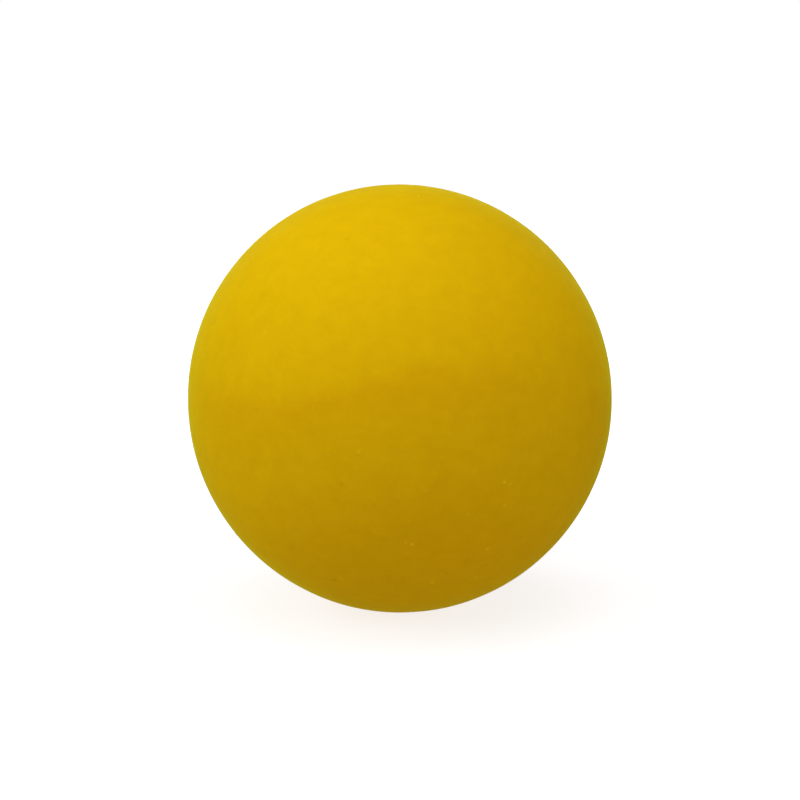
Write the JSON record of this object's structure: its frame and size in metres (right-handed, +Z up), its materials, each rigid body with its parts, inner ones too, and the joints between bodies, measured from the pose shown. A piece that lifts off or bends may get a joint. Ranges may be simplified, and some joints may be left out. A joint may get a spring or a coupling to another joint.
{
  "type": "foam ball",
  "caption": "Soft round play ball: a solid foam core inside a thin bonded elastomer skin, with a small breather hole at the back.",
  "frame": {"origin": "centre of the ball", "axes": "+Z up as it lies in the picture, -Y towards the viewer, +Y out through the breather hole"},
  "size_m": [0.07, 0.0699, 0.07],
  "materials": {
    "core_foam": "open-cell polyurethane foam, pale straw colour, matt",
    "yellow_skin": "sprayed polyurethane coat, warm yellow, satin-matt with a fine orange-peel texture"
  },
  "bodies": {
    "root": {"foam_core": "core_foam", "outer_skin": "yellow_skin"}
  },
  "joints": []
}
